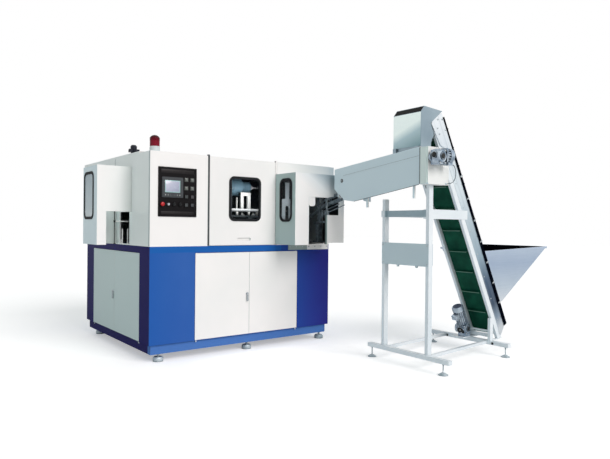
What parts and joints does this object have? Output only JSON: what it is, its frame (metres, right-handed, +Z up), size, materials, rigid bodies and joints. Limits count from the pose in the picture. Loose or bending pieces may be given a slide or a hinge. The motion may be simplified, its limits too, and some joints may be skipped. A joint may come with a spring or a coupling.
{
  "type": "blow moulding machine",
  "caption": "Stretch blow moulding machine: a door-fronted cabinet with a guarded press, fed by a leaning cleated elevator with hopper, roller trough and slide.",
  "frame": {"origin": "on the floor under the middle of the whole footprint", "axes": "+X runs right along the cabinet front towards the hopper, +Y runs back from the cabinet front, +Z is up"},
  "size_m": [4.46, 3.965, 2.419],
  "materials": {
    "blue_paint": "semi-gloss blue paint",
    "foot_grey": "zinc plated steel, worn",
    "door_white": "off-white powder coat",
    "black_plastic": "satin black",
    "zinc_plate": "galvanised plate",
    "tank_grey": "grey paint",
    "dark_steel": "blackened steel",
    "rubber": "matte black rubber",
    "tinted_pane": "tinted clear sheet",
    "pale_plastic": "pale grey plastic",
    "red_lens": "clear red lens",
    "bright_metal": "polished steel",
    "dark_panel": "black anodised",
    "hmi_plastic": "dark grey moulding",
    "lamp_lens": "translucent square lenses",
    "red_plastic": "red mushroom head",
    "button_green": "square green cap",
    "button_red": "square red cap",
    "button_white": "square white cap",
    "button_black": "square black cap",
    "machine_grey": "grey machine paint",
    "cylinder_grey": "dark grey paint with machined faces",
    "aluminium_block": "milled aluminium",
    "white_nylon": "white nylon",
    "frame_white": "white enamel tube",
    "box_grey": "grey enamel box",
    "stainless": "brushed stainless sheet",
    "green_belt": "dark green belt",
    "pale_sheet": "pale translucent sheet",
    "cast_grey": "cast aluminium, painted grey",
    "cable_grey": "grey sheathed cable"
  },
  "bodies": {
    "machine": {"air_receiver": "tank_grey", "base_frame": "blue_paint", "beacon_base": "pale_plastic", "beacon_dome": "red_lens", "belt": "green_belt", "box_gaskets": "rubber", "box_panes": "tinted_pane", "cabinet_feet": "foot_grey", "clamp_cylinder": "cylinder_grey", "control_box": "box_grey", "door_guides": "dark_steel", "electrical_panel": "zinc_plate", "elevator_feet": "foot_grey", "elevator_frame": "frame_white", "gearmotors": "cast_grey", "head_hood": "stainless", "heater_oven": "bright_metal", "hmi_housing": "hmi_plastic", "hood_window": "pale_sheet", "hopper": "stainless", "indicator_lamps": "lamp_lens", "infeed_box": "door_white", "infeed_bracket": "machine_grey", "machine_bed": "machine_grey", "motor_cable": "cable_grey", "outlet_box": "door_white", "panel_plate": "dark_panel", "preform_slide": "dark_steel", "preform_tray": "white_nylon", "side_panels": "stainless", "skirts": "rubber", "trough": "stainless", "upper_cabinet": "door_white"},
    "front_door_left": {"front_door_left": "door_white"},
    "front_door_right": {"front_door_right": "door_white"},
    "front_latch": {"front_door_latch": "black_plastic"},
    "end_door_left": {"end_door_left": "door_white"},
    "end_door_right": {"end_door_right": "door_white"},
    "end_latch": {"end_door_latch": "black_plastic"},
    "lift_door": {"centre_door": "door_white", "centre_gasket": "rubber", "centre_pane": "tinted_pane"},
    "estop": {"estop_button": "red_plastic"},
    "key": {"key_switch": "bright_metal"},
    "selector_left": {"selector_left": "black_plastic"},
    "selector_right": {"selector_right": "black_plastic"},
    "button_1": {"push_button_1": "button_green"},
    "button_2": {"push_button_2": "button_red"},
    "button_3": {"push_button_3": "button_white"},
    "button_4": {"push_button_4": "button_black"},
    "beacon_mirror": {"beacon_reflector": "bright_metal"},
    "knob": {"roof_knob": "black_plastic"},
    "clamp": {"clamp_rod": "bright_metal", "moving_mould": "aluminium_block"},
    "lifter": {"infeed_rod": "bright_metal"},
    "head_drum": {"head_drum": "dark_steel"},
    "tail_drum": {"tail_drum": "dark_steel"},
    "roller_left": {"roller_left": "bright_metal"},
    "roller_right": {"roller_right": "bright_metal"},
    "kicker": {"kicker_wheel": "rubber"}
  },
  "joints": [
    {"name": "front_door_left_hinge", "type": "hinge", "parent": "machine", "child": "front_door_left", "pos_m": [-1.4, -0.0495, 0.6], "axis": [0, 0, -1], "range_deg": [0, 110]},
    {"name": "front_door_right_hinge", "type": "hinge", "parent": "machine", "child": "front_door_right", "pos_m": [-0.182, -0.0495, 0.6], "axis": [0, 0, 1], "range_deg": [0, 110]},
    {"name": "front_latch_turn", "type": "hinge", "parent": "front_door_left", "child": "front_latch", "pos_m": [-0.817, -0.0575, 0.596], "axis": [0, 1, 0], "range_deg": [0, 90]},
    {"name": "end_door_left_hinge", "type": "hinge", "parent": "machine", "child": "end_door_left", "pos_m": [-1.878, 1.5665, 0.6], "axis": [0, 0, -1], "range_deg": [0, 110]},
    {"name": "end_door_right_hinge", "type": "hinge", "parent": "machine", "child": "end_door_right", "pos_m": [-1.878, 0.2065, 0.6], "axis": [0, 0, 1], "range_deg": [0, 110]},
    {"name": "end_latch_turn", "type": "hinge", "parent": "end_door_left", "child": "end_latch", "pos_m": [-1.886, 0.9125, 0.596], "axis": [1, 0, 0], "range_deg": [0, 90]},
    {"name": "lift_door_slide", "type": "slide", "parent": "machine", "child": "lift_door", "axis": [0, 0, 1], "range_m": [0, 0.6]},
    {"name": "estop_press", "type": "slide", "parent": "machine", "child": "estop", "axis": [0, 1, 0], "range_m": [0, 0.006]},
    {"name": "key_turn", "type": "hinge", "parent": "machine", "child": "key", "pos_m": [-1.713, -0.0638, 1.503], "axis": [0, 1, 0], "range_deg": [0, 90]},
    {"name": "selector_left_turn", "type": "hinge", "parent": "machine", "child": "selector_left", "pos_m": [-1.651, -0.0638, 1.503], "axis": [0, 1, 0], "range_deg": [-45, 45]},
    {"name": "selector_right_turn", "type": "hinge", "parent": "machine", "child": "selector_right", "pos_m": [-1.589, -0.0638, 1.503], "axis": [0, 1, 0], "range_deg": [-45, 45]},
    {"name": "button_1_press", "type": "slide", "parent": "machine", "child": "button_1", "axis": [0, 1, 0], "range_m": [0, 0.004], "stiffness_N_per_m": 600, "springref_m": -0.002},
    {"name": "button_2_press", "type": "slide", "parent": "machine", "child": "button_2", "axis": [0, 1, 0], "range_m": [0, 0.004], "stiffness_N_per_m": 600, "springref_m": -0.002},
    {"name": "button_3_press", "type": "slide", "parent": "machine", "child": "button_3", "axis": [0, 1, 0], "range_m": [0, 0.004], "stiffness_N_per_m": 600, "springref_m": -0.002},
    {"name": "button_4_press", "type": "slide", "parent": "machine", "child": "button_4", "axis": [0, 1, 0], "range_m": [0, 0.004], "stiffness_N_per_m": 600, "springref_m": -0.002},
    {"name": "beacon_spin", "type": "hinge", "parent": "machine", "child": "beacon_mirror", "pos_m": [-1.808, 0.0275, 2.06], "axis": [0, 0, 1], "continuous": true},
    {"name": "knob_turn", "type": "hinge", "parent": "machine", "child": "knob", "pos_m": [-1.736, 0.7575, 2.06], "axis": [0, 0, 1], "range_deg": [-180, 180]},
    {"name": "clamp_close", "type": "slide", "parent": "machine", "child": "clamp", "axis": [1, 0, 0], "range_m": [0, 0.1]},
    {"name": "lifter_rise", "type": "slide", "parent": "machine", "child": "lifter", "axis": [0, 0, 1], "range_m": [0, 0.06]},
    {"name": "head_drum_spin", "type": "hinge", "parent": "machine", "child": "head_drum", "pos_m": [0.28882, -1.4875, 2.24317], "axis": [0, 1, 0], "continuous": true},
    {"name": "tail_drum_spin", "type": "hinge", "parent": "machine", "child": "tail_drum", "pos_m": [1.30931, -1.4875, 0.266], "axis": [0, 1, 0], "continuous": true},
    {"name": "roller_left_spin", "type": "hinge", "parent": "machine", "child": "roller_left", "pos_m": [0.029, -1.6175, 1.806], "axis": [0, 0.9894, -0.1451], "continuous": true},
    {"name": "roller_right_spin", "type": "hinge", "parent": "machine", "child": "roller_right", "pos_m": [0.119, -1.6175, 1.806], "axis": [0, 0.9894, -0.1451], "continuous": true},
    {"name": "kicker_spin", "type": "hinge", "parent": "machine", "child": "kicker", "pos_m": [0.139, -0.6195, 1.79], "axis": [1, 0, 0], "continuous": true}
  ],
  "couplings": [
    {"joint": "tail_drum_spin", "follows": "head_drum_spin", "ratio": 1},
    {"joint": "roller_right_spin", "follows": "roller_left_spin", "ratio": -1}
  ]
}
